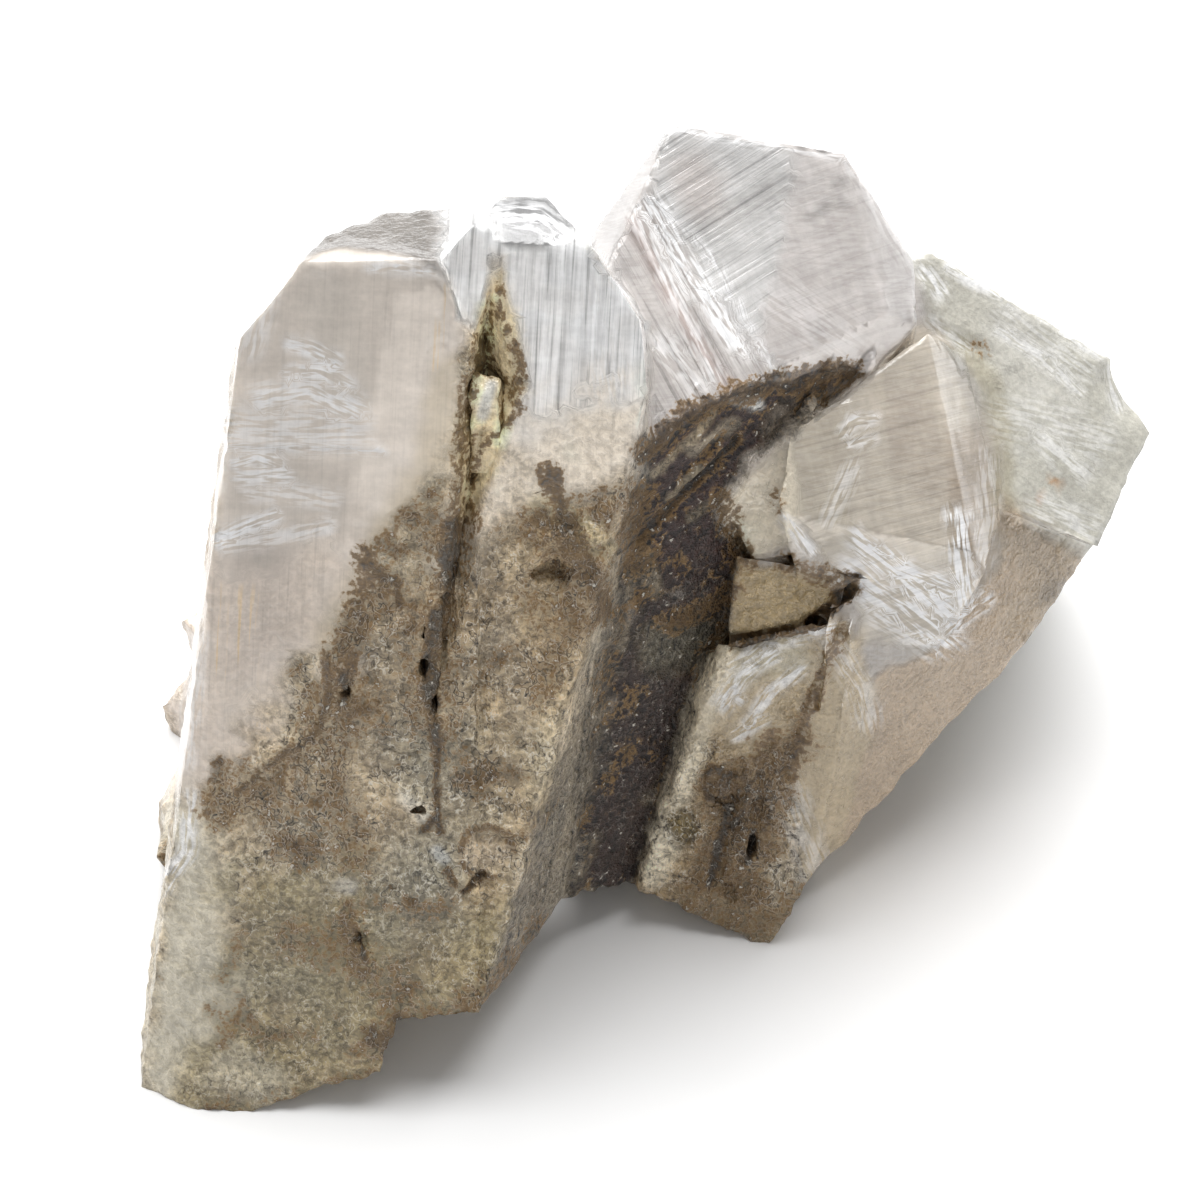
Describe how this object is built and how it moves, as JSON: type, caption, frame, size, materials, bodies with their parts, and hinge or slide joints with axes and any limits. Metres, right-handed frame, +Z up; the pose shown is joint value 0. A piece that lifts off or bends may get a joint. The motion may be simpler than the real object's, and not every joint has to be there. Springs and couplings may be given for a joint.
{
  "type": "danburite crystal cluster",
  "caption": "Cluster of clear to milky pink prisms with flat sloping and chisel tips, grown together on a sugary crust, with brown etched hollows and one deep fissure.",
  "frame": {"origin": "middle of the footprint box of the whole cluster, on the surface it rests on", "axes": "+Z up, +X to the right when the cluster is seen from its front, -Y out of its front, towards whoever looks at the two tall prisms"},
  "size_m": [0.0776, 0.0604, 0.0652],
  "materials": {
    "danburite": "clear to milky crystal, glossy on the flat faces, frosted and brown in the etched places"
  },
  "bodies": {
    "root": {"danburite_cluster": "danburite"}
  },
  "joints": []
}
